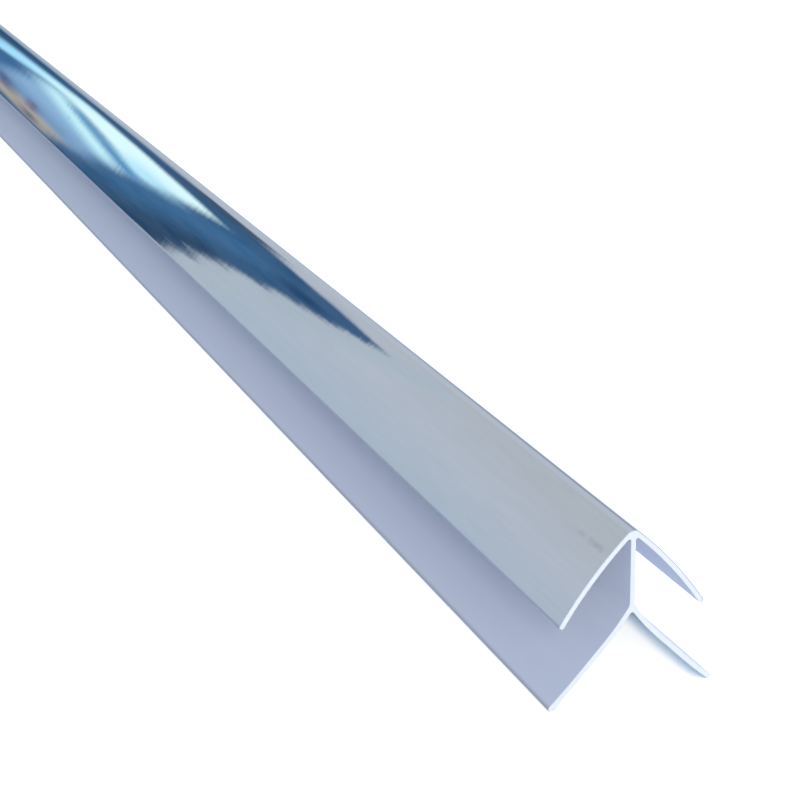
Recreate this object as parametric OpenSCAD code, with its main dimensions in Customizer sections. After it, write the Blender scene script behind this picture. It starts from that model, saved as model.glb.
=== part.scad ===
// External corner trim for wall panels: one length of white PVC extrusion with a
// bright film on its two cover flanges. The bar lies along Y on the tips of its two
// back flanges, with the rounded outer corner of the section on top.
// Slopes are degrees below the horizontal, on the right half of the section.
// Runs are lengths along the middle of a wall.

/* [Bar] */
// Length that the trim is sold in
length = 2400; // [300:50:3000]

/* [Web] */
// Height of the web between the middles of the two corners, for panels 8 thick
web_h = 13.6; // [12:0.1:18]
// Thickness of the web
web_t = 0.9; // [0.7:0.1:1.2]
// Straight run beside the outer corner, which a fillet ties to the web
cover_fillet = 0.7; // [0.5:0.1:1.2]
// Height that the fillets over the inner corner climb up the web
back_fillet = 0.5; // [0.2:0.1:1.5]

/* [Cover flanges] */
// Thickness of the cover flanges, without the film
cover_t = 0.85; // [0.7:0.05:1.2]
// Radius of the rounded outer corner, at the middle of the wall
crown_r = 1.2; // [1:0.1:2.5]
// Slope where a cover flange leaves the outer corner
cover_start = 43; // [38:1:46]
// Slope at the tip, where the flange leans in on the panel
cover_end = 57; // [48:1:60]
// Run of the bowed face, up to the middle of the tip's rounding
cover_run = 17.6; // [12:0.2:26]

/* [Back flanges] */
// Thickness of the back flanges
back_t = 0.95; // [0.7:0.05:1.2]
// Radius of the inner corner, at the middle of the wall
crotch_r = 0.9; // [0.8:0.1:2]
// Slope where a back flange leaves the inner corner
back_start = 55; // [50:1:57]
// Slope of the flat stretch that lies against the wall
flat_slope = 46; // [45:0.5:48]
// Slope at the tip, where the flange turns out to the panel
back_end = 42; // [36:1:44]
// Run of the bend between the inner corner and the flat stretch
bend_run = 6.6; // [3:0.2:9]
// Run of the flat stretch
flat_run = 6.4; // [4:0.2:14]
// Run of the turned lip, up to the middle of the tip's rounding
lip_run = 7.2; // [4:0.2:12]

/* [Film] */
// Thickness of the bright film, which turns round the tips of the cover flanges
film_t = 0.12; // [0.1:0.01:0.3]

/* [Hidden] */

// Facets of the corners, the bowed walls and the round tips
crown_facets = 6;
face_facets = 14;
bend_facets = 3;
lip_facets = 5;
tip_facets = 8;
fillet_facets = 5;

// Facets of a round tip that the film covers, from the outer side on
wrap_facets = 5;

// Legs of the two walls: run, slope at the start, slope at the end, facets
cover_legs = [
    [arc_run(crown_r, cover_start), 0, cover_start, crown_facets],
    [cover_fillet, cover_start, cover_start, 1],
    [cover_run, cover_start, cover_end, face_facets]
];
back_legs = [
    [arc_run(crotch_r, back_start), 0, back_start, crown_facets],
    [bend_run, back_start, flat_slope, bend_facets],
    [flat_run, flat_slope, flat_slope, 1],
    [lip_run, flat_slope, back_end, lip_facets]
];

// Stations along each right wall: place and slope of the middle of the wall
cover_path = path([[0, web_h, 0]], cover_legs);
back_path = path([[0, 0, 0]], back_legs);

// Stations at which the fillets meet the two walls
cover_meet = crown_facets + 1;
back_meet = crown_facets;

// Stations in the middle of the round tips
cover_last = len(cover_path) - 1;
back_last = len(back_path) - 1;

// Right halves of the two outlines, clockwise from the top
profile_half = concat(
    side(cover_path, cover_t / 2, 0, cover_last),
    tip(cover_path[cover_last], cover_t / 2, tip_facets - 1),
    side(cover_path, -cover_t / 2, cover_last, cover_meet),
    fillet(cover_path[cover_meet], -cover_t / 2, -cover_fillet),
    reversed(fillet(back_path[back_meet], back_t / 2, back_fillet)),
    side(back_path, back_t / 2, back_meet, back_last),
    tip(back_path[back_last], back_t / 2, tip_facets - 1),
    side(back_path, -back_t / 2, back_last, 0)
);
film_half = concat(
    side(cover_path, cover_t / 2 + film_t, 0, cover_last),
    tip(cover_path[cover_last], cover_t / 2 + film_t, wrap_facets),
    reversed(tip(cover_path[cover_last], cover_t / 2, wrap_facets)),
    side(cover_path, cover_t / 2, cover_last, 0)
);

// Height of the section's middle when its lowest points stand on the floor
rest_z = -min([for (p = profile_half) p[1]]);

// Length of an arc that starts level and turns down by a slope
function arc_run(r, slope) = r * slope * PI / 180;

// Station at a share t of a leg that starts at station s
function along(s, leg, t) =
    let (a0 = leg[1], a1 = leg[2], a = a0 + (a1 - a0) * t)
    a0 == a1
        ? [s[0] + leg[0] * t * cos(a0), s[1] - leg[0] * t * sin(a0), a]
        : let (r = leg[0] / ((a1 - a0) * PI / 180))
          [s[0] + r * (sin(a) - sin(a0)), s[1] + r * (cos(a) - cos(a0)), a];

// All stations of a wall, leg after leg
function path(stations, legs, i = 0) =
    i == len(legs)
        ? stations
        : let (s = stations[len(stations) - 1], n = legs[i][3])
          path(concat(stations, [for (k = [1:n]) along(s, legs[i], k / n)]), legs, i + 1);

// Point beside a station, d above the middle of the wall
function beside(s, d) = [s[0] + d * sin(s[2]), s[1] + d * cos(s[2])];

// Side of a wall from one station to another, in either direction
function side(stations, d, from, to) =
    [for (k = [from:(to > from ? 1 : -1):to]) beside(stations[k], d)];

// Points round a tip of radius r, from the upper side on, over some of its facets
function tip(s, r, facets) =
    [for (k = [1:facets])
        let (a = 90 - s[2] - 180 * k / tip_facets)
        [s[0] + r * cos(a), s[1] + r * sin(a)]];

// Fillet from side d of a wall to the web, tangent to both, which climbs the web by h
function fillet(s, d, h) =
    let (q = beside(s, d),
         c = [web_t / 2, q[1] + (q[0] - web_t / 2) * tan(s[2])],
         p = c + [0, h])
    [for (k = [1:fillet_facets])
        let (t = k / fillet_facets)
        (1 - t) * (1 - t) * q + 2 * t * (1 - t) * c + t * t * p];

function reversed(points) = [for (k = [len(points) - 1:-1:0]) points[k]];

// Closed outline made of a right half and its mirror image
module both_halves(half) {
    polygon(concat(half, [for (p = reversed(half)) if (p[0] > 0) [-p[0], p[1]]]));
}

// Lays a section down along Y and stands it on the floor
module lay() {
    translate([0, 0, rest_z]) rotate([90, 0, 0]) linear_extrude(length, center = true) children();
}

module profile() {
    color([0.93, 0.94, 0.96]) lay() both_halves(profile_half);
}

module bright_film() {
    color([0.66, 0.74, 0.8]) lay() both_halves(film_half);
}

profile();
bright_film();
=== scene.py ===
"""External corner trim for wall panels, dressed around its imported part.

The bar is one white PVC extrusion that lies along Y on the tips of its back flanges.
A bright film covers its two bowed cover flanges. Both pieces are drawn here with
smooth curves, at the sizes of the part, and get their finishes. The rest of the file
is the floor, the lamps, the surroundings that the film mirrors, and the camera.
"""

import logging
import math
from dataclasses import dataclass, field
from enum import Enum

import bmesh
import bpy
from mathutils import Matrix, Vector


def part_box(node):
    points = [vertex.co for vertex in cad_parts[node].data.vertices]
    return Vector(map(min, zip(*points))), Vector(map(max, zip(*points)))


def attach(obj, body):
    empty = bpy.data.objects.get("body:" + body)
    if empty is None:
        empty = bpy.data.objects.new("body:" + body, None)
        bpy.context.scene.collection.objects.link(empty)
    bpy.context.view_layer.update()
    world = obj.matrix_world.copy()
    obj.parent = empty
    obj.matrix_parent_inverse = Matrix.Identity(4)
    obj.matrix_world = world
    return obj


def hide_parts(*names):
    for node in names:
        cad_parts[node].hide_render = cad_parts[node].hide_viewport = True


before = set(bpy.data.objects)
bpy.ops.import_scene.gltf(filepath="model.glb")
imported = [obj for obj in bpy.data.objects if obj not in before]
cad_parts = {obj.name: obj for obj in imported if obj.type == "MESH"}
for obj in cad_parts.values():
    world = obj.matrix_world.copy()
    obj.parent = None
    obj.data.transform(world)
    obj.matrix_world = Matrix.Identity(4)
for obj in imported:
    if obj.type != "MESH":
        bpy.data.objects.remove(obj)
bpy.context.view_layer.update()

LOG = logging.getLogger("corner_trim")
MM = 0.001
QUAD_CORNERS = 4
Triple = tuple[float, float, float]
Colour = Triple
Socket = bpy.types.NodeSocket
WHITE: Colour = (1.0, 1.0, 1.0)

# Less than the height of any outward unit vector, so no side counts as rolled
NO_ROLL = -2.0


class Node(Enum):
    """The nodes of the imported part."""

    PROFILE = "profile"
    FILM = "bright_film"


class Slot(Enum):
    """The material slots of the record."""

    PVC = "white_pvc"
    FILM = "bright_film"


def opaque(colour: Colour) -> tuple[float, float, float, float]:
    """A colour with full alpha, as colour sockets take it."""
    return (*colour, 1.0)


class Graph:
    """A node tree with short ways to add, fill and link its nodes."""

    def __init__(self, tree: bpy.types.NodeTree) -> None:
        """Takes the tree of a material, a world or a node group and empties it."""
        self.tree = tree
        self.tree.nodes.clear()

    def feed(self, socket: Socket, value: object) -> None:
        """Links a socket to an output, or sets its value.

        Args:
            socket: The input to fill.
            value: An output socket, or a plain value.
        """
        if isinstance(value, Socket):
            self.tree.links.new(value, socket)
        else:
            socket.default_value = value

    def add(
        self, kind: str, inputs: dict[str | int, object] | None = None, **settings: object
    ) -> bpy.types.Node:
        """Adds a node.

        Args:
            kind: The node's type name.
            inputs: What each named or numbered input takes.
            **settings: Properties of the node.

        Returns:
            The new node.
        """
        node = self.tree.nodes.new(kind)
        for name, value in settings.items():
            setattr(node, name, value)
        for name, value in (inputs or {}).items():
            self.feed(node.inputs[name], value)
        return node

    def maths(self, operation: str, *terms: object) -> Socket:
        """The value of one Math node, made of its operation and its inputs in order."""
        return self.add("ShaderNodeMath", dict(enumerate(terms)), operation=operation).outputs[0]

    def vectors(self, operation: str, *terms: object) -> bpy.types.Node:
        """One Vector Math node, made of its operation and its inputs in order."""
        return self.add("ShaderNodeVectorMath", dict(enumerate(terms)), operation=operation)

    def stretched(self, vector: object, scale: Triple) -> Socket:
        """A vector with each of its parts multiplied."""
        return self.vectors("MULTIPLY", vector, scale).outputs[0]

    def length(self, vector: object) -> Socket:
        """The length of a vector."""
        return self.vectors("LENGTH", vector).outputs["Value"]

    def ramp(
        self, value: object, low: float, high: float, to_low: float = 0.0, to_high: float = 1.0
    ) -> Socket:
        """A smooth step from one level to another, while a value goes from low to high."""
        inputs = {0: value, 1: low, 2: high, 3: to_low, 4: to_high}
        return self.add("ShaderNodeMapRange", inputs, interpolation_type="SMOOTHSTEP").outputs[0]

    def blend(self, mask: object, below: object, above: object) -> Socket:
        """One colour with another laid over it as far as the mask says."""
        return self.add("ShaderNodeMix", {0: mask, 6: below, 7: above}, data_type="RGBA").outputs[2]

    def bump(self, height: object, distance: float) -> Socket:
        """The normal of a relief, whose height is in units of a distance in metres."""
        return self.add("ShaderNodeBump", {"Height": height, "Distance": distance}).outputs[0]

    def noise(
        self, vector: object, scale: object, detail: float = 2.0, roughness: float = 0.5
    ) -> Socket:
        """A noise pattern, about 0.5 in the mean, with its scale per unit of the vector."""
        inputs = {"Vector": vector, "Scale": scale, "Detail": detail, "Roughness": roughness}
        return self.add("ShaderNodeTexNoise", inputs).outputs[0]

    def placed(self, group: bpy.types.NodeTree, inputs: dict[str, object]) -> bpy.types.Node:
        """A node that holds a node group, with its inputs filled."""
        return self.add("ShaderNodeGroup", inputs, node_tree=group)


def new_group(
    name: str, inputs: dict[str, str], outputs: dict[str, str]
) -> tuple[Graph, bpy.types.Node, bpy.types.Node]:
    """A shader node group with its sockets made and its ends placed.

    Args:
        name: The group's name.
        inputs: The socket type of each input.
        outputs: The socket type of each output.

    Returns:
        The group's graph, its input node and its output node.
    """
    tree = bpy.data.node_groups.new(name, "ShaderNodeTree")
    for side, sockets in (("INPUT", inputs), ("OUTPUT", outputs)):
        for label, kind in sockets.items():
            tree.interface.new_socket(label, in_out=side, socket_type=kind)
    graph = Graph(tree)
    return graph, graph.add("NodeGroupInput"), graph.add("NodeGroupOutput")


FLOAT = "NodeSocketFloat"
VECTOR = "NodeSocketVector"


@dataclass
class Effects:
    """Node groups that more than one finish uses.

    The draw lines are stretched along the bar, and a broad set, given as a share of
    the fine lines' number, goes with the fine one. The scuffs are turned by a slant,
    in radians, and stretched less. They show where the noise passes the given steps.
    """

    line_stretch: Triple = (1.0, 0.004, 1.0)
    broad_share: float = 0.18
    scuff_slant: float = 0.35
    scuff_stretch: Triple = (1.0, 0.07, 1.0)
    scuff_fineness: float = 9.0
    scuff_step: tuple[float, float] = (0.64, 0.74)
    scuffed_step: tuple[float, float] = (0.5, 0.66)

    def __post_init__(self) -> None:
        """Builds the groups once."""
        self._line_group = self._draw_lines()
        self._scuff_group = self._scuffs()

    def lines(self, graph: Graph, where: Socket, per_metre: float) -> Socket:
        """The height of draw lines in a material, from 0 to 1."""
        inputs = {"Vector": where, "Fineness": per_metre}
        return graph.placed(self._line_group, inputs).outputs["Height"]

    def scuffs(self, graph: Graph, where: Socket, per_metre: float) -> Socket:
        """The mask of scuffs in a material, from 0 to 1, by scuffed places per metre."""
        inputs = {"Vector": where, "Spread": per_metre}
        return graph.placed(self._scuff_group, inputs).outputs["Mask"]

    def _draw_lines(self) -> bpy.types.NodeTree:
        """Fine lines along the bar, as the die leaves them.

        Returns:
            A group that takes a Vector and lines per metre, and gives a Height from 0 to 1.
        """
        graph, start, end = new_group(
            "Draw lines", {"Vector": VECTOR, "Fineness": FLOAT}, {"Height": FLOAT}
        )
        fineness = start.outputs["Fineness"]
        flat = graph.stretched(start.outputs["Vector"], self.line_stretch)
        fine = graph.noise(flat, fineness, detail=3.0, roughness=0.6)
        broad = graph.noise(flat, graph.maths("MULTIPLY", fineness, self.broad_share))
        both = graph.maths("MULTIPLY", graph.maths("ADD", broad, fine), 0.5)
        graph.feed(end.inputs["Height"], both)
        return graph.tree

    def _scuffs(self) -> bpy.types.NodeTree:
        """Thin broken marks of handling, which run at a slant along the bar.

        Returns:
            A group that takes a Vector and places per metre, and gives a Mask from 0 to 1.
        """
        graph, start, end = new_group(
            "Scuffs", {"Vector": VECTOR, "Spread": FLOAT}, {"Mask": FLOAT}
        )
        where = start.outputs["Vector"]
        spread = start.outputs["Spread"]
        turn = {"Vector": where, "Rotation": (0.0, 0.0, self.scuff_slant)}
        slant = graph.add("ShaderNodeMapping", turn).outputs[0]
        flat = graph.stretched(slant, self.scuff_stretch)
        fineness = graph.maths("MULTIPLY", spread, self.scuff_fineness)
        thin = graph.ramp(graph.noise(flat, fineness), *self.scuff_step)
        scuffed = graph.ramp(graph.noise(where, spread), *self.scuffed_step)
        graph.feed(end.inputs["Mask"], graph.maths("MULTIPLY", thin, scuffed))
        return graph.tree


def new_material(name: str) -> tuple[bpy.types.Material, Graph, bpy.types.Node, Socket]:
    """A material that holds a Principled BSDF and reads Object coordinates.

    Args:
        name: The material's name.

    Returns:
        The material, its graph, the shader and the coordinates.
    """
    material = bpy.data.materials.new(name)
    material.use_nodes = True
    graph = Graph(material.node_tree)
    shader = graph.add("ShaderNodeBsdfPrincipled")
    graph.add("ShaderNodeOutputMaterial", {"Surface": shader.outputs[0]})
    return material, graph, shader, graph.add("ShaderNodeTexCoord").outputs["Object"]


@dataclass(frozen=True)
class DrawnPvc:
    """White PVC as it comes out of the die: half glossy, with faint lines along the bar.

    Broad bands, also along the bar, are a little darker than the rest. The edges that
    the bar stands on get a painted grey shade, fully up to half of the shaded band's height.
    """

    colour: Colour = (0.83, 0.85, 0.9)
    shade: Colour = (0.79, 0.82, 0.88)
    # Painted shade on the edges that the bar stands on: its colour, its height and how strong it is
    floor_shade_colour: Colour = (0.56, 0.53, 0.52)
    floor_shade_mm: float = 1.1
    floor_shade_cover: float = 0.95
    roughness: float = 0.34
    roughness_spread: float = 0.12
    lines_per_metre: float = 2600.0
    line_height_mm: float = 0.002
    bands_per_metre: float = 420.0
    band_step: tuple[float, float] = (0.35, 0.7)
    mottle_per_metre: float = 240.0
    mottle_height_mm: float = 0.004

    def build(self, effects: Effects) -> bpy.types.Material:
        """Makes the material.

        Args:
            effects: The shared node groups.

        Returns:
            The material.
        """
        material, graph, shader, where = new_material("drawn_pvc")
        lines = effects.lines(graph, where, self.lines_per_metre)
        bands = effects.lines(graph, where, self.bands_per_metre)
        mottle = graph.noise(where, self.mottle_per_metre, detail=3.0)
        tint = graph.ramp(bands, *self.band_step)
        clean = graph.blend(tint, opaque(self.shade), opaque(self.colour))
        # Painted shade: grey on the low edges that the bar stands on, fading out above them
        above_floor = graph.add("ShaderNodeSeparateXYZ", {0: where}).outputs["Z"]
        floor_shade_band = self.floor_shade_mm * MM
        floor_shaded = graph.ramp(above_floor, floor_shade_band / 2, floor_shade_band, self.floor_shade_cover, 0.0)
        graph.feed(shader.inputs["Base Color"], graph.blend(floor_shaded, clean, opaque(self.floor_shade_colour)))
        glossiest = self.roughness - self.roughness_spread / 2
        dull = graph.maths("MULTIPLY_ADD", mottle, self.roughness_spread, glossiest)
        graph.feed(shader.inputs["Roughness"], dull)
        height = graph.maths("MULTIPLY", lines, self.line_height_mm)
        height = graph.maths("MULTIPLY_ADD", mottle, self.mottle_height_mm, height)
        graph.feed(shader.inputs["Normal"], graph.bump(height, MM))
        return material


@dataclass(frozen=True)
class SawnPvc:
    """A sawn end of the extrusion: matt and very white, with the arcs of the blade's teeth.

    The blade's hub is to the right of the bar and above it. The wobble is the most
    that a tooth's mark strays, in radians of the pattern of marks.
    """

    colour: Colour = (0.96, 0.97, 0.9)
    dirty_share: float = 0.9
    roughness: float = 0.62
    roughness_spread: float = 0.16
    blade_aside_mm: float = 40.0
    blade_radius_mm: float = 125.0
    tooth_mark_mm: float = 0.35
    mark_height_mm: float = 0.008
    mark_share: float = 0.3
    wobble: float = 9.0
    wobbles_per_metre: float = 900.0
    grit_per_metre: float = 5200.0
    scuffs_per_metre: float = 120.0

    def build(self, effects: Effects) -> bpy.types.Material:
        """Makes the material.

        Args:
            effects: The shared node groups.

        Returns:
            The material.
        """
        material, graph, shader, where = new_material("sawn_pvc")
        hub = (self.blade_aside_mm * MM, 0.0, self.blade_radius_mm * MM)
        from_hub = graph.vectors("SUBTRACT", where, hub).outputs[0]
        reach = graph.length(graph.stretched(from_hub, (1.0, 0.0, 1.0)))
        noise = graph.noise(where, self.wobbles_per_metre, detail=3.0)
        wobble = graph.maths("MULTIPLY", noise, self.wobble)
        phase = graph.maths("MULTIPLY_ADD", reach, math.tau / (self.tooth_mark_mm * MM), wobble)
        marks = graph.maths("SINE", phase)
        grit = graph.noise(where, self.grit_per_metre)
        height = graph.maths("MULTIPLY_ADD", marks, self.mark_share, grit)
        graph.feed(shader.inputs["Normal"], graph.bump(height, self.mark_height_mm * MM))
        scuffs = effects.scuffs(graph, where, self.scuffs_per_metre)
        dirty = tuple(self.dirty_share * part for part in self.colour)
        colour = graph.blend(scuffs, opaque(self.colour), opaque(dirty))
        graph.feed(shader.inputs["Base Color"], colour)
        smoothest = self.roughness - self.roughness_spread / 2
        dull = graph.maths("MULTIPLY_ADD", grit, self.roughness_spread, smoothest)
        graph.feed(shader.inputs["Roughness"], dull)
        return material


@dataclass(frozen=True)
class Smudge:
    """One dull mark on the film, in millimetres, with a torn outline.

    Away is the distance from its middle, in half sizes, at which it starts to fade
    and at which it is gone.
    """

    middle: Triple
    half_size: Triple
    cover: float
    away: tuple[float, float] = (0.6, 1.5)
    torn: float = 1.2
    tears_per_metre: float = 800.0

    def mask(self, graph: Graph, where: Socket) -> Socket:
        """How much of the film the smudge covers.

        Args:
            graph: The film's graph.
            where: Object coordinates.

        Returns:
            A value from 0 to 1.
        """
        middle = tuple(part * MM for part in self.middle)
        offset = graph.vectors("SUBTRACT", where, middle).outputs[0]
        shape = graph.stretched(offset, tuple(1.0 / (half * MM) for half in self.half_size))
        tears = graph.noise(where, self.tears_per_metre, detail=3.0)
        away = graph.maths("MULTIPLY_ADD", tears, self.torn, graph.length(shape))
        return graph.ramp(away, *self.away, self.cover, 0.0)


@dataclass(frozen=True)
class BrightFilm:
    """Metallised film: a mirror with long faint waves, ripples, draw lines and scuffs.

    Its haze goes from less to more than the given roughness, as shares of it. Two
    small smudges lie beside the ridge, close to the near end.
    """

    colour: Colour = (0.82, 0.86, 0.9)
    dull_colour: Colour = (0.68, 0.71, 0.79)
    roughness: float = 0.025
    dull_roughness: float = 0.16
    haze_per_metre: float = 26.0
    haze_step: tuple[float, float] = (0.3, 0.8)
    haze_shares: tuple[float, float] = (0.8, 1.4)
    scuff_share: float = 0.25
    scuffs_per_metre: float = 30.0
    waves_per_metre: float = 14.0
    wave_height_mm: float = 0.008
    ripples_per_metre: float = 330.0
    ripple_height_mm: float = 0.004
    ripple_stretch: Triple = (0.25, 1.0, 0.25)
    lines_per_metre: float = 3300.0
    line_height_mm: float = 0.0006
    smudges: tuple[Smudge, ...] = (
        Smudge((-4.5, -1195.2, 26.0), (1.1, 5.2, 1.1), 0.95),
        Smudge((-4.5, -1190.4, 26.0), (0.8, 4.0, 0.8), 0.6),
    )

    def build(self, effects: Effects) -> bpy.types.Material:
        """Makes the material.

        Args:
            effects: The shared node groups.

        Returns:
            The material.
        """
        material, graph, shader, where = new_material("mirror_film")
        shader.inputs["Metallic"].default_value = 1.0
        scuffs = effects.scuffs(graph, where, self.scuffs_per_metre)
        dull = graph.maths("MULTIPLY", scuffs, self.scuff_share)
        for smudge in self.smudges:
            dull = graph.maths("MAXIMUM", dull, smudge.mask(graph, where))
        colour = graph.blend(dull, opaque(self.colour), opaque(self.dull_colour))
        graph.feed(shader.inputs["Base Color"], colour)
        noise = graph.noise(where, self.haze_per_metre, detail=3.0)
        hazes = (self.roughness * share for share in self.haze_shares)
        haze = graph.ramp(noise, *self.haze_step, *hazes)
        rough = graph.maths("MULTIPLY_ADD", dull, self.dull_roughness, haze)
        graph.feed(shader.inputs["Roughness"], rough)
        relief = self._relief(graph, where, effects)
        graph.feed(shader.inputs["Normal"], graph.bump(relief, MM))
        return material

    def _relief(self, graph: Graph, where: Socket, effects: Effects) -> Socket:
        """The height of the film's waves, ripples and lines.

        Args:
            graph: The film's graph.
            where: Object coordinates.
            effects: The shared node groups.

        Returns:
            The height in millimetres.
        """
        waves = graph.noise(where, self.waves_per_metre, detail=1.0)
        across = graph.stretched(where, self.ripple_stretch)
        ripples = graph.noise(across, self.ripples_per_metre, detail=3.0, roughness=0.6)
        lines = effects.lines(graph, where, self.lines_per_metre)
        height = graph.maths("MULTIPLY", waves, self.wave_height_mm)
        height = graph.maths("MULTIPLY_ADD", ripples, self.ripple_height_mm, height)
        return graph.maths("MULTIPLY_ADD", lines, self.line_height_mm, height)


@dataclass(frozen=True)
class FilmEdge:
    """The film's cut edge, its back and its roll round the tips: stretched, grey and matt."""

    colour: Colour = (0.46, 0.5, 0.55)
    light_share: float = 1.25
    roughness: float = 0.5
    lines_per_metre: float = 1500.0

    def build(self, effects: Effects) -> bpy.types.Material:
        """Makes the material.

        Args:
            effects: The shared node groups.

        Returns:
            The material.
        """
        material, graph, shader, where = new_material("film_edge")
        lines = effects.lines(graph, where, self.lines_per_metre)
        light = tuple(self.light_share * part for part in self.colour)
        colour = graph.blend(lines, opaque(self.colour), opaque(light))
        graph.feed(shader.inputs["Base Color"], colour)
        shader.inputs["Roughness"].default_value = self.roughness
        return material


class OutlinePen:
    """Draws an outline in the XZ plane, in millimetres, as a walk of runs and turns.

    Its heading is in degrees up from +X.
    """

    def __init__(self, shape: bmesh.types.BMesh, height: float) -> None:
        """Sets the first vertex, in the middle of the section, and heads along +X.

        Args:
            shape: The bmesh to draw in.
            height: Z of the first vertex.
        """
        self.shape = shape
        self.heading = 0.0
        first = bmesh.ops.create_vert(shape, co=(0.0, 0.0, height))
        self.last: bmesh.types.BMVert = first["vert"][0]

    def ahead(self) -> Vector:
        """The unit vector that the walk follows."""
        angle = math.radians(self.heading)
        return Vector((math.cos(angle), 0.0, math.sin(angle)))

    def run(self, length: float) -> None:
        """Walks straight on.

        Args:
            length: How far.
        """
        made = bmesh.ops.extrude_vert_indiv(self.shape, verts=[self.last])
        bmesh.ops.translate(self.shape, vec=self.ahead() * length, verts=made["verts"])
        self.last = made["verts"][0]

    def turn(self, radius: float, degrees: float, steps: int) -> None:
        """Walks along an arc that starts straight ahead.

        Args:
            radius: The arc's radius.
            degrees: The arc's angle, positive to the right and negative to the left.
            steps: Number of edges.
        """
        to_right = Vector((0.0, 1.0, 0.0)).cross(self.ahead())
        centre = self.last.co + to_right * math.copysign(radius, degrees)
        made = bmesh.ops.spin(
            self.shape, geom=[self.last], cent=centre, axis=(0.0, 1.0, 0.0),
            dvec=(0.0, 0.0, 0.0), angle=math.radians(degrees), steps=steps, use_merge=False,
        )
        ends = made["geom_last"]
        self.last = next(part for part in ends if isinstance(part, bmesh.types.BMVert))
        self.heading -= degrees


@dataclass(frozen=True)
class CoverFlange:
    """One cover flange, in millimetres and degrees, with its runs along the wall's middle."""

    wall: float = 0.85
    crown_radius: float = 1.2
    start_slope: float = 43.0
    end_slope: float = 57.0
    straight_run: float = 0.7
    bowed_run: float = 17.6
    crown_steps: int = 24
    bow_steps: int = 48
    tip_steps: int = 24

    @property
    def bow(self) -> float:
        """The angle of the bowed run."""
        return self.end_slope - self.start_slope

    @property
    def bow_radius(self) -> float:
        """The radius of the bowed run."""
        return self.bowed_run / math.radians(self.bow)

    def outward(self, pen: OutlinePen, lift: float) -> None:
        """Draws the side from the ridge to the tip.

        Args:
            pen: The pen, which stands over the middle of the section.
            lift: The side's distance above the middle of the wall.
        """
        pen.turn(self.crown_radius + lift, self.start_slope, self.crown_steps)
        pen.run(self.straight_run)
        pen.turn(self.bow_radius + lift, self.bow, self.bow_steps)

    def back_up(self, pen: OutlinePen, lift: float) -> None:
        """Draws a side's bowed run from the tip towards the ridge."""
        pen.turn(self.bow_radius + lift, -self.bow, self.bow_steps)

    def meets_web(self, web: float) -> tuple[float, float]:
        """Where the underside would meet the web without a fillet.

        Args:
            web: The web's thickness.

        Returns:
            The length of underside from the bowed run to that corner, and the
            corner's height over the middle of the ridge's wall.
        """
        slope = math.radians(self.start_slope)
        inside = self.crown_radius - self.wall / 2
        drop = self.straight_run * math.sin(slope)
        aside = inside * math.sin(slope) + self.straight_run * math.cos(slope) - web / 2
        z = inside * math.cos(slope) - self.crown_radius - drop
        return aside / math.cos(slope), z + aside * math.tan(slope)


@dataclass(frozen=True)
class BackFlange:
    """One back flange, in millimetres and degrees, with its runs along the wall's middle."""

    wall: float = 0.95
    crotch_radius: float = 0.9
    start_slope: float = 55.0
    flat_slope: float = 46.0
    end_slope: float = 42.0
    bend_run: float = 6.6
    flat_run: float = 6.4
    lip_run: float = 7.2
    bend_steps: int = 18
    lip_steps: int = 18
    tip_steps: int = 24
    crotch_steps: int = 16

    @property
    def bend(self) -> float:
        """The angle of the bend between the inner corner and the flat stretch."""
        return self.start_slope - self.flat_slope

    @property
    def bend_radius(self) -> float:
        """The radius of the bend."""
        return self.bend_run / math.radians(self.bend)

    @property
    def lip(self) -> float:
        """The angle by which the lip turns out."""
        return self.flat_slope - self.end_slope

    @property
    def lip_radius(self) -> float:
        """The radius of the lip."""
        return self.lip_run / math.radians(self.lip)

    def outward(self, pen: OutlinePen) -> None:
        """Draws the upper side from the inner corner to the tip.

        Args:
            pen: The pen, which stands where the bend starts.
        """
        pen.turn(self.bend_radius - self.wall / 2, -self.bend, self.bend_steps)
        pen.run(self.flat_run)
        pen.turn(self.lip_radius - self.wall / 2, -self.lip, self.lip_steps)

    def back_up(self, pen: OutlinePen) -> None:
        """Draws the wall side from the tip to the middle of the section.

        Args:
            pen: The pen, which stands at the tip.
        """
        pen.turn(self.lip_radius + self.wall / 2, self.lip, self.lip_steps)
        pen.run(self.flat_run)
        pen.turn(self.bend_radius + self.wall / 2, self.bend, self.bend_steps)
        pen.turn(self.crotch_radius - self.wall / 2, -self.start_slope, self.crotch_steps)

    def meets_web(self, web: float) -> tuple[float, float]:
        """Where the upper side would meet the web without a fillet.

        Args:
            web: The web's thickness.

        Returns:
            The length of upper side from that corner to the bend, and the corner's
            height over the middle of the inner corner's wall.
        """
        slope = math.radians(self.start_slope)
        reach = self.crotch_radius + self.wall / 2
        aside = reach * math.sin(slope) - web / 2
        z = reach * math.cos(slope) - self.crotch_radius
        return aside / math.cos(slope), z + aside * math.tan(slope)


@dataclass(frozen=True)
class Web:
    """The web between the two corners of the section, in millimetres."""

    height: float = 13.6
    wall: float = 0.9
    cover_fillet: float = 0.75
    back_fillet: float = 0.5
    fillet_steps: int = 12

    def down(self, pen: OutlinePen, cover: CoverFlange, back: BackFlange) -> None:
        """Draws the inner side of a channel, from the bow above to the bend below.

        Args:
            pen: The pen, which comes up the cover flange's underside.
            cover: The cover flange above.
            back: The back flange below.
        """
        above, top = cover.meets_web(self.wall)
        below, bottom = back.meets_web(self.wall)
        upper_turn = 90.0 + cover.start_slope
        lower_turn = 90.0 - back.start_slope
        pen.run(above - self.cover_fillet)
        self._fillet(pen, self.cover_fillet, upper_turn)
        pen.run(self.height + top - bottom - self.cover_fillet - self.back_fillet)
        self._fillet(pen, self.back_fillet, lower_turn)
        pen.run(below - self.back_fillet)

    def _fillet(self, pen: OutlinePen, reach: float, degrees: float) -> None:
        """Draws a round to the left, which starts and ends at a reach from a corner."""
        pen.turn(reach / math.tan(math.radians(degrees / 2)), -degrees, self.fillet_steps)


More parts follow.
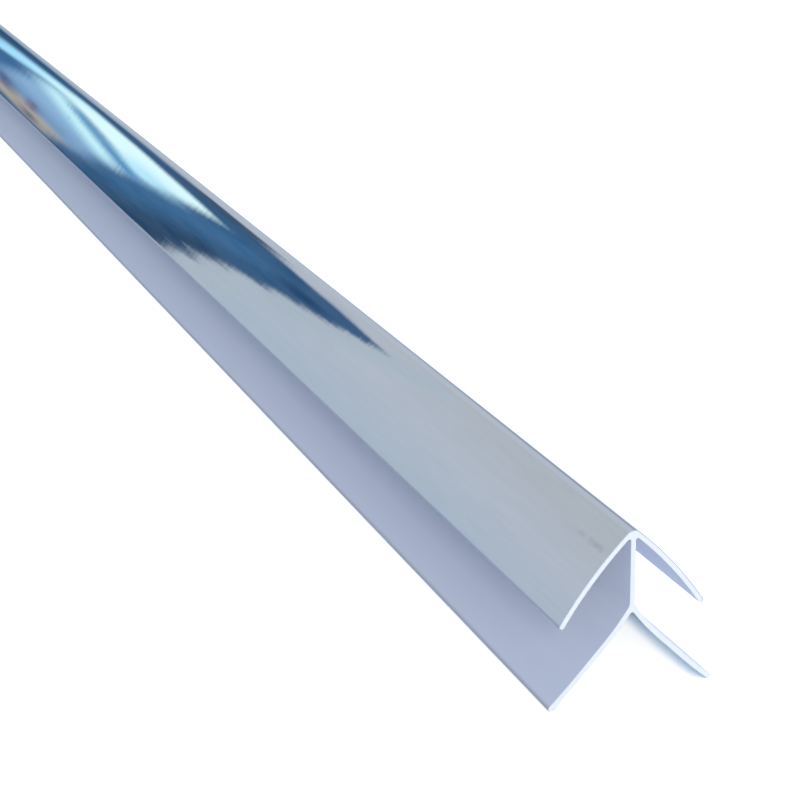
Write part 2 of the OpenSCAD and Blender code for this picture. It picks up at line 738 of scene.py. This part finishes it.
@dataclass
class TrimBar:
    """What the two pieces of the bar share, in millimetres and degrees.

    Film is its thickness, and the film wrap is how far it goes round a flange's tip.
    The saw break is the size of the broken edges of the sawn ends. Points closer than
    the weld become one, and an edge sharper than the crease isn't shaded smooth.
    """

    cover: CoverFlange = field(default_factory=CoverFlange)
    back: BackFlange = field(default_factory=BackFlange)
    web: Web = field(default_factory=Web)
    film: float = 0.12
    film_wrap: float = 112.5
    saw_break: float = 0.05
    weld: float = 0.001
    crease: float = 28.0

    def ridge(self, node: Node) -> float:
        """The height of a node's ridge, in millimetres."""
        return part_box(node.value)[1].z / MM

    def drawn_out(
        self, shape: bmesh.types.BMesh, node: Node, rolled: float = NO_ROLL
    ) -> bpy.types.Object:
        """Makes a bar of a half section and puts it in the scene.

        The long sides take the object's first material and the sawn ends its second.

        Args:
            shape: The right half of the section's outline, in millimetres.
            node: The node that the bar stands for.
            rolled: Long sides take the second material too where they tilt further than
                this, given as the height of their outward unit vector.

        Returns:
            The finished object, with no material yet.
        """
        low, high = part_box(node.value)
        outline = shape.verts[:] + shape.edges[:]
        bmesh.ops.mirror(shape, geom=outline, matrix=Matrix(), merge_dist=self.weld, axis="X")
        bmesh.ops.remove_doubles(shape, verts=shape.verts, dist=self.weld)
        bmesh.ops.edgeloop_fill(shape, edges=shape.edges)
        near = low.y / MM + self.saw_break
        bmesh.ops.translate(shape, vec=(0.0, near, 0.0), verts=shape.verts)
        made = bmesh.ops.extrude_face_region(shape, geom=shape.faces[:])
        far = [part for part in made["geom"] if isinstance(part, bmesh.types.BMVert)]
        length = (high.y - low.y) / MM - 2 * self.saw_break
        bmesh.ops.translate(shape, vec=(0.0, length, 0.0), verts=far)
        bmesh.ops.recalc_face_normals(shape, faces=shape.faces)
        for face in shape.faces:
            face.material_index = int(face.normal.z < rolled)
            face.smooth = True
        self._saw_ends(shape)
        crease = math.radians(self.crease)
        for edge in shape.edges:
            if edge.calc_face_angle(0.0) > crease:
                edge.smooth = False
        large = [face for face in shape.faces if len(face.verts) > QUAD_CORNERS]
        bmesh.ops.triangulate(shape, faces=large)
        bmesh.ops.scale(shape, vec=(MM, MM, MM), verts=shape.verts)
        mesh = bpy.data.meshes.new(node.value)
        shape.to_mesh(mesh)
        shape.free()
        piece = bpy.data.objects.new(f"{node.value}_bar", mesh)
        bpy.context.scene.collection.objects.link(piece)
        return piece

    def _saw_ends(self, shape: bmesh.types.BMesh) -> None:
        """Breaks the edges of both ends and gives the ends the second material.

        Args:
            shape: The bar, in millimetres, shorter by the break at each end.
        """
        ends = [face for face in shape.faces if round(abs(face.normal.y))]
        for end in ends:
            bmesh.ops.inset_region(
                shape, faces=[end], thickness=self.saw_break, depth=self.saw_break,
                use_even_offset=True, use_boundary=True,
            )
            end.material_index = 1
            end.smooth = False
            for edge in end.edges:
                edge.smooth = False


@dataclass
class PvcProfile(TrimBar):
    """The white extrusion: web, two cover flanges and two back flanges in one piece."""

    def build(self, effects: Effects) -> bpy.types.Object:
        """Makes the piece, dresses it and puts it in place of its node.

        Args:
            effects: The shared node groups.

        Returns:
            The piece.
        """
        shape = bmesh.new()
        pen = OutlinePen(shape, self.ridge(Node.PROFILE))
        self.cover.outward(pen, self.cover.wall / 2)
        pen.turn(self.cover.wall / 2, 180.0, self.cover.tip_steps)
        self.cover.back_up(pen, -self.cover.wall / 2)
        self.web.down(pen, self.cover, self.back)
        self.back.outward(pen)
        pen.turn(self.back.wall / 2, 180.0, self.back.tip_steps)
        self.back.back_up(pen)
        piece = self.drawn_out(shape, Node.PROFILE)
        piece.data.materials.append(DrawnPvc().build(effects))
        piece.data.materials.append(SawnPvc().build(effects))
        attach(piece, "root")
        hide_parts(Node.PROFILE.value)
        return piece


@dataclass
class FilmSkin(TrimBar):
    """The bright film, which lies on both cover flanges and is rolled round their tips.

    Roll start is how many degrees steeper than the flange's end its matt roll begins.
    """

    roll_start: float = 3.0

    def build(self, effects: Effects) -> bpy.types.Object:
        """Makes the piece, dresses it and puts it in place of its node.

        Args:
            effects: The shared node groups.

        Returns:
            The piece.
        """
        shape = bmesh.new()
        under = self.cover.wall / 2
        over = under + self.film
        wrap_steps = round(self.cover.tip_steps * self.film_wrap / 180.0)
        pen = OutlinePen(shape, self.ridge(Node.FILM))
        self.cover.outward(pen, over)
        pen.turn(over, self.film_wrap, wrap_steps)
        pen.heading -= 90.0
        pen.run(self.film)
        pen.heading -= 90.0
        pen.turn(under, -self.film_wrap, wrap_steps)
        self.cover.back_up(pen, under)
        pen.run(self.cover.straight_run)
        crown = self.cover.crown_radius + under
        pen.turn(crown, -self.cover.start_slope, self.cover.crown_steps)
        rolled = math.cos(math.radians(self.cover.end_slope + self.roll_start))
        piece = self.drawn_out(shape, Node.FILM, rolled)
        piece.data.materials.append(BrightFilm().build(effects))
        piece.data.materials.append(FilmEdge().build(effects))
        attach(piece, "root")
        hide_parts(Node.FILM.value)
        return piece


@dataclass(frozen=True)
class Patch:
    """One patch of the surroundings, in degrees of azimuth from +Y and of elevation.

    Soft is how far its edge fades to either side. Lean shifts it sideways per degree
    up. Rise and bend lift it per degree and per square degree to the right. Taper makes
    it taller to the right, as a share of its height. Ragged is how far its outline
    strays sideways, beyond the wander of all patches.
    """

    centre: tuple[float, float]
    half_size: tuple[float, float]
    colour: Colour
    soft: float = 0.5
    lean: float = 0.0
    rise: float = 0.0
    bend: float = 0.0
    taper: float = 0.0
    ragged: float = 0.0


@dataclass(frozen=True)
class Surroundings:
    """The world: white to the camera, a cool even fill, and what the film mirrors.

    The mirrored part is a pale room. Beyond the far end of the bar it has a dark
    curtain, with a window over a low wall and boxes. To the sides, above and behind it
    has light panels and dark doorways. A patch lies over those that stand before it.
    The wall turns from its lower colour to its upper one over the wall step, in degrees
    of elevation. Wander is how far the patches' outlines stray sideways, in degrees,
    and mottle is how much the whole varies.
    """

    fill: Colour = (0.34, 0.4, 0.56)
    wall: Colour = (0.52, 0.56, 0.635)
    wall_low: Colour = (0.46, 0.54, 0.63)
    wall_step: tuple[float, float] = (6.0, 18.0)
    wander: float = 0.5
    wander_scale: float = 30.0
    mottle: float = 0.07
    mottle_scale: float = 60.0
    ridge_wall: Patch = Patch((-2.0, 11.0), (10.0, 6.0), (0.36, 0.43, 0.51), soft=4.0)
    ridge_shade: Patch = Patch((-8.0, 12.5), (5.0, 4.0), (0.16, 0.25, 0.36), soft=5.0)
    ceiling: Patch = Patch((-27.0, 31.0), (16.0, 10.0), (0.495, 0.53, 0.565), soft=5.0)
    doorway_right: Patch = Patch((31.0, 14.0), (6.0, 7.0), (0.3, 0.33, 0.37), soft=5.0)
    beam_right: Patch = Patch((95.0, 66.0), (60.0, 14.0), (0.16, 0.2, 0.27), soft=4.0)
    beam_left: Patch = Patch((-95.0, 66.0), (60.0, 14.0), (0.16, 0.2, 0.27), soft=4.0)
    panel_right: Patch = Patch((95.0, 65.0), (55.0, 6.0), (1.0, 1.05, 1.1), soft=2.0)
    panel_left: Patch = Patch((-95.0, 65.0), (55.0, 6.0), (1.0, 1.05, 1.1), soft=2.0)
    door_back_right: Patch = Patch((150.0, 31.0), (22.0, 7.0), (0.13, 0.18, 0.26), soft=2.0)
    door_back_left: Patch = Patch((-150.0, 31.0), (22.0, 7.0), (0.13, 0.18, 0.26), soft=2.0)
    panel_back_right: Patch = Patch((150.0, 39.0), (20.0, 3.5), (1.0, 1.05, 1.1), soft=2.0)
    panel_back_left: Patch = Patch((-150.0, 39.0), (20.0, 3.5), (1.0, 1.05, 1.1), soft=2.0)
    curtain: Patch = Patch(
        (-11.7, 4.3), (8.9, 10.0), (0.047, 0.118, 0.235), soft=0.4, rise=-1.0, bend=-0.034,
    )
    curtain_end: Patch = Patch((-8.7, 10.6), (1.2, 1.3), (0.03, 0.09, 0.19), soft=1.5)
    curtain_top: Patch = Patch((-18.6, 17.8), (1.2, 1.2), (0.058, 0.125, 0.245), soft=1.2)
    curtain_foot: Patch = Patch((-19.0, 8.5), (1.2, 3.5), (0.033, 0.078, 0.155), soft=1.0)
    curtain_fold: Patch = Patch((-16.9, 12.0), (0.8, 4.5), (0.055, 0.165, 0.33), soft=1.4)
    curtain_crease: Patch = Patch((-18.5, 16.7), (0.6, 0.7), (0.024, 0.073, 0.17), soft=0.7)
    curtain_hem: Patch = Patch(
        (-14.3, 16.7), (1.1, 0.55), (0.055, 0.1, 0.17), soft=0.5, rise=-1.0,
    )
    curtain_gap: Patch = Patch((-19.9, 12.2), (0.5, 0.8), (0.46, 0.54, 0.62), soft=0.4)
    wall_left: Patch = Patch(
        (-20.45, 13.0), (0.9, 9.5), (0.48, 0.545, 0.615), soft=0.4, lean=0.02, ragged=1.8,
    )
    curtain_tail: Patch = Patch(
        (-19.5, 6.5), (0.55, 1.3), (0.033, 0.078, 0.155), soft=0.4, lean=0.15,
    )
    low_wall: Patch = Patch((-13.7, 8.9), (2.25, 2.5), (0.3, 0.505, 0.735))
    low_wall_foot: Patch = Patch((-13.9, 6.9), (2.1, 1.1), (0.215, 0.36, 0.57), soft=1.0)
    boxes: Patch = Patch((-14.4, 5.7), (1.3, 0.85), (0.45, 0.42, 0.38))
    pillar: Patch = Patch((-11.5, 8.4), (0.6, 1.3), (0.055, 0.16, 0.34), lean=0.18)
    window: Patch = Patch(
        (-13.25, 12.84), (2.3, 1.3), (0.84, 1.1, 1.11), rise=-0.32, bend=-0.05, taper=-0.55,
    )
    window_low: Patch = Patch((-15.1, 12.1), (0.7, 1.0), (0.55, 0.92, 1.1), soft=0.9)
    window_glow: Patch = Patch(
        (-10.45, 10.1), (0.85, 1.35), (0.43, 0.84, 1.1), soft=0.8, rise=-1.8, taper=0.3,
    )
    window_end: Patch = Patch(
        (-11.1, 11.5), (0.4, 0.45), (0.74, 1.08, 1.1), soft=0.6, rise=-0.9,
    )
    sheen: Patch = Patch((-13.7, 10.1), (2.1, 0.5), (0.7, 1.06, 1.1), soft=0.8, rise=0.3)
    sill: Patch = Patch((-14.2, 10.9), (1.85, 0.3), (0.09, 0.3, 0.55), rise=0.15, taper=-0.2)
    red_box: Patch = Patch((-14.15, 6.8), (0.14, 0.6), (0.15, 0.08, 0.15), soft=0.3, lean=0.45)
    dark_box: Patch = Patch((-14.85, 5.4), (0.25, 0.35), (0.09, 0.1, 0.15), soft=0.4, lean=0.45)
    blue_box: Patch = Patch((-13.15, 6.5), (0.3, 0.7), (0.07, 0.1, 0.23), lean=0.6)

    def build(self) -> bpy.types.World:
        """Makes the world and gives it to the scene.

        Returns:
            The world.
        """
        world = bpy.data.worlds.new("surroundings")
        world.use_nodes = True
        graph = Graph(world.node_tree)
        seen = graph.add("ShaderNodeLightPath").outputs
        mirrored = self._mirrored(graph)
        lit = graph.blend(seen["Is Glossy Ray"], opaque(self.fill), mirrored)
        shown = graph.maths("MAXIMUM", seen["Is Camera Ray"], seen["Is Transmission Ray"])
        colour = graph.blend(shown, lit, opaque(WHITE))
        background = graph.add("ShaderNodeBackground", {"Color": colour, "Strength": 1.0})
        graph.add("ShaderNodeOutputWorld", {"Surface": background.outputs[0]})
        bpy.context.scene.world = world
        return world

    def _mirrored(self, graph: Graph) -> Socket:
        """The colours that glossy rays find.

        Args:
            graph: The world's graph.

        Returns:
            The colour socket.
        """
        direction = graph.add("ShaderNodeTexCoord").outputs["Generated"]
        parts = graph.add("ShaderNodeSeparateXYZ", {0: direction}).outputs
        azimuth = graph.maths("DEGREES", graph.maths("ARCTAN2", parts["X"], parts["Y"]))
        elevation = graph.maths("DEGREES", graph.maths("ARCSINE", parts["Z"]))
        noise = graph.noise(direction, self.wander_scale, detail=4.0, roughness=0.65)
        stray = graph.maths("SUBTRACT", noise, 0.5)
        patch_group = self._patch_group()
        high = graph.ramp(elevation, *self.wall_step)
        colour = graph.blend(high, opaque(self.wall_low), opaque(self.wall))
        for patch in (part for part in vars(self).values() if isinstance(part, Patch)):
            strayed = graph.maths("MULTIPLY_ADD", stray, self.wander + patch.ragged, azimuth)
            inputs = {
                "Azimuth": graph.maths("SUBTRACT", strayed, patch.centre[0]),
                "Elevation": graph.maths("SUBTRACT", elevation, patch.centre[1]),
                "Half width": patch.half_size[0],
                "Half height": patch.half_size[1],
                "Soft": patch.soft,
                "Lean": patch.lean,
                "Rise": patch.rise,
                "Bend": patch.bend,
                "Taper": patch.taper,
            }
            mask = graph.placed(patch_group, inputs).outputs["Mask"]
            colour = graph.blend(mask, colour, opaque(patch.colour))
        mottle = graph.noise(direction, self.mottle_scale, detail=3.0, roughness=0.6)
        uneven = graph.maths("MULTIPLY_ADD", mottle, self.mottle, -self.mottle / 2)
        return graph.vectors("ADD", colour, uneven).outputs[0]

    @staticmethod
    def _patch_group() -> bpy.types.NodeTree:
        """A soft-edged box, which may lean, rise, bend and taper.

        Returns:
            A group that takes the place from the box's centre and the box's measures, and
            gives a Mask from 0 to 1.
        """
        names = (
            "Azimuth", "Elevation", "Half width", "Half height",
            "Soft", "Lean", "Rise", "Bend", "Taper",
        )
        graph, start, end = new_group("Soft patch", dict.fromkeys(names, FLOAT), {"Mask": FLOAT})
        given = start.outputs
        leaned = graph.maths("MULTIPLY", given["Lean"], given["Elevation"])
        along = graph.maths("SUBTRACT", given["Azimuth"], leaned)
        gradient = graph.maths("MULTIPLY_ADD", given["Bend"], given["Azimuth"], given["Rise"])
        lifted = graph.maths("MULTIPLY", gradient, given["Azimuth"])
        across = graph.maths("SUBTRACT", given["Elevation"], lifted)
        share = graph.maths("DIVIDE", given["Azimuth"], given["Half width"])
        widening = graph.maths("MULTIPLY_ADD", share, given["Taper"], 1.0)
        height = graph.maths("MULTIPLY", given["Half height"], widening)
        masks = []
        for place, half in ((along, given["Half width"]), (across, height)):
            inside = graph.maths("SUBTRACT", half, graph.maths("ABSOLUTE", place))
            fade = graph.maths("DIVIDE", inside, given["Soft"])
            step = graph.maths("MULTIPLY_ADD", fade, 0.5, 0.5)
            masks.append(graph.ramp(step, 0.0, 1.0))
        graph.feed(end.inputs["Mask"], graph.maths("MULTIPLY", *masks))
        return graph.tree


@dataclass(frozen=True)
class Floor:
    """A plain pale floor, white to the camera, with painted slate shade close under the bar's
    flanges.

    Glossy rays find only the mirrored share of its glow. The shade's reach is in
    metres. Its step is the openness at which the slate starts to fade and is gone.
    """

    half_size: float = 9.0
    colour: Colour = (0.86, 0.87, 0.88)
    shown_colour: Colour = (0.8, 0.8, 0.8)
    glow: float = 0.8
    mirrored_share: float = 0.15
    shade_colour: Colour = (0.2, 0.36, 0.55)
    shade_reach: float = 0.003
    shade_step: tuple[float, float] = (0.22, 0.4)
    shade_samples: int = 4

    def build(self) -> bpy.types.Object:
        """Makes the floor.

        Returns:
            The floor.
        """
        shape = bmesh.new()
        bmesh.ops.create_grid(shape, x_segments=1, y_segments=1, size=self.half_size)
        mesh = bpy.data.meshes.new("floor")
        shape.to_mesh(mesh)
        shape.free()
        floor = bpy.data.objects.new("floor", mesh)
        bpy.context.scene.collection.objects.link(floor)
        mesh.materials.append(self._material())
        return floor

    def _material(self) -> bpy.types.Material:
        """A matt surface whose glow lights nothing: only camera and glossy rays find it.

        Returns:
            The material.
        """
        material = bpy.data.materials.new("floor")
        material.use_nodes = True
        graph = Graph(material.node_tree)
        seen = graph.add("ShaderNodeLightPath").outputs
        shown = graph.maths("MAXIMUM", seen["Is Camera Ray"], seen["Is Transmission Ray"])
        colour = graph.blend(shown, opaque(self.colour), opaque(self.shown_colour))
        matt = graph.add("ShaderNodeBsdfDiffuse", {"Color": colour})
        reach = {"Distance": self.shade_reach}
        # Painted shade: the glow turns slate where the flanges hang within the shade's reach over
        # the floor
        covered = graph.add("ShaderNodeAmbientOcclusion", reach, samples=self.shade_samples)
        clear = graph.ramp(covered.outputs["AO"], *self.shade_step)
        tint = graph.blend(clear, opaque(self.shade_colour), opaque(WHITE))
        mirrored = graph.maths("MULTIPLY", seen["Is Glossy Ray"], self.mirrored_share)
        strength = graph.maths("MULTIPLY", graph.maths("MAXIMUM", shown, mirrored), self.glow)
        glow = graph.add("ShaderNodeEmission", {"Color": tint, "Strength": strength})
        both = graph.add("ShaderNodeAddShader", {0: matt.outputs[0], 1: glow.outputs[0]})
        graph.add("ShaderNodeOutputMaterial", {"Surface": both.outputs[0]})
        return material


@dataclass(frozen=True)
class SoftLamp:
    """A far, wide, soft lamp, at an azimuth from +Y and an elevation, all in degrees."""

    name: str
    azimuth: float
    elevation: float
    strength: float
    colour: Colour
    spread: float
    mirrored: bool = True

    def build(self) -> bpy.types.Object:
        """Hangs the lamp.

        Returns:
            The lamp.
        """
        light = bpy.data.lights.new(self.name, "SUN")
        light.energy = self.strength
        light.color = self.colour
        light.angle = math.radians(self.spread)
        lamp = bpy.data.objects.new(self.name, light)
        azimuth = math.radians(self.azimuth)
        elevation = math.radians(self.elevation)
        level = math.cos(elevation)
        x = math.sin(azimuth) * level
        y = math.cos(azimuth) * level
        towards = Vector((x, y, math.sin(elevation)))
        lamp.rotation_euler = towards.to_track_quat("Z", "Y").to_euler()
        lamp.visible_glossy = self.mirrored
        bpy.context.scene.collection.objects.link(lamp)
        return lamp


@dataclass(frozen=True)
class PhotoCamera:
    """The camera of the reference view, fitted to the section and the long edges.

    Its place and the nearest thing it shows are in metres, its angles in degrees and
    its sensor in millimetres.
    """

    place: Triple = (-0.14141, -1.46572, 0.16257)
    yaw: float = 20.937
    pitch: float = 20.172
    roll: float = -1.224
    focal_pixels: float = 2031.68
    image_pixels: float = 800.0
    sensor: float = 36.0
    nearest: float = 0.01

    def build(self) -> bpy.types.Object:
        """Sets up the camera and makes it the scene's.

        Returns:
            The camera.
        """
        data = bpy.data.cameras.new("camera")
        data.sensor_width = self.sensor
        data.lens = self.focal_pixels / self.image_pixels * self.sensor
        data.clip_start = self.nearest
        camera = bpy.data.objects.new("camera", data)
        turned = Matrix.Rotation(math.radians(-self.yaw), 4, "Z")
        tilted = Matrix.Rotation(math.radians(90.0 - self.pitch), 4, "X")
        rolled = Matrix.Rotation(math.radians(self.roll), 4, "Z")
        camera.matrix_world = Matrix.Translation(self.place) @ turned @ tilted @ rolled
        bpy.context.scene.collection.objects.link(camera)
        bpy.context.scene.camera = camera
        return camera


LAMPS = (
    SoftLamp(
        "front_key", azimuth=-172.0, elevation=22.0, strength=1.55,
        colour=(1.0, 1.0, 0.97), spread=35.0,
    ),
    SoftLamp(
        "right_fill", azimuth=75.0, elevation=5.0, strength=2.7,
        colour=(0.58, 0.72, 1.0), spread=50.0, mirrored=False,
    ),
)


def report(piece: bpy.types.Object) -> None:
    """Logs a piece's name and the number of its faces."""
    LOG.info("%s: %d faces", piece.name, len(piece.data.polygons))


def main() -> None:
    """Builds the camera, the bar and its stage, in that order."""
    logging.basicConfig(level=logging.INFO, format="%(name)s %(message)s")
    scene = bpy.context.scene
    scene.view_settings.view_transform = "Standard"
    PhotoCamera().build()
    effects = Effects()
    report(PvcProfile().build(effects))
    report(FilmSkin().build(effects))
    report(Floor().build())
    Surroundings().build()
    for lamp in LAMPS:
        lamp.build()


if __name__ == "__main__":
    main()
